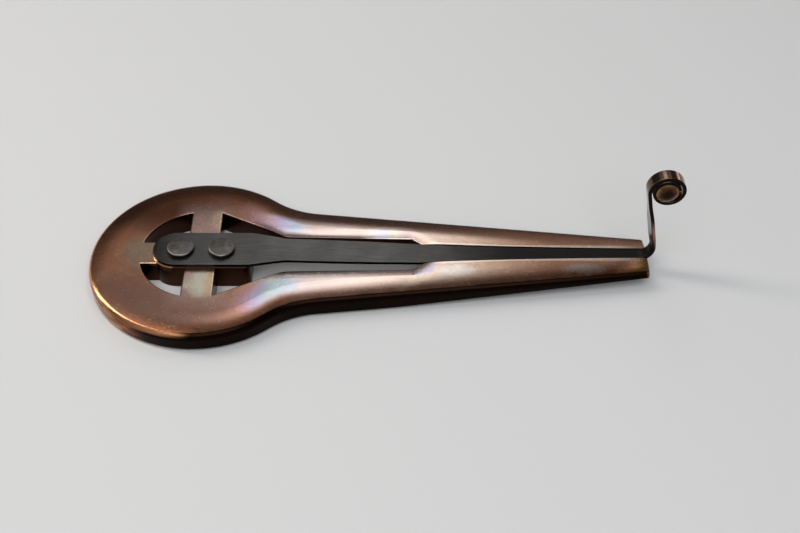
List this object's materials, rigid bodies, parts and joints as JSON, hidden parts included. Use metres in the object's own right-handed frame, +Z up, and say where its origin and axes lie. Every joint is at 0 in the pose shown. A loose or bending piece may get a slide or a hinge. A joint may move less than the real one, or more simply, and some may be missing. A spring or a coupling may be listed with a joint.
{
  "type": "jaw harp",
  "caption": "Forged jaw harp: a ring frame with tapering tines carries a riveted spring tongue that turns up into a rolled trigger with a domed pin.",
  "frame": {"origin": "centre of the ring's round hole, on the flat underside of the frame", "axes": "+X along the tines towards the trigger, +Z up from the underside towards the tongue, +Y across the tines"},
  "size_m": [0.1093, 0.0416, 0.0239],
  "materials": {
    "frame_steel": "satin, heat tinted copper brown, with blue and violet tints at the neck and the slot's step",
    "spring_steel": "dark, brushed lengthwise",
    "rivet_steel": "satin, peened",
    "pin_copper": "polished copper brown"
  },
  "bodies": {
    "frame_body": {"frame": "frame_steel", "tongue_base": "spring_steel", "rivet_rear": "rivet_steel", "rivet_front": "rivet_steel"},
    "tongue_body": {"tongue_blade": "spring_steel", "curl_pin": "pin_copper"}
  },
  "joints": [
    {"name": "tongue_flex", "type": "hinge", "parent": "frame_body", "child": "tongue_body", "pos_m": [0.02, 0, 0.00489], "axis": [0, 1, 0], "range_deg": [-7, 7], "stiffness_Nm_per_rad": 0.75}
  ]
}
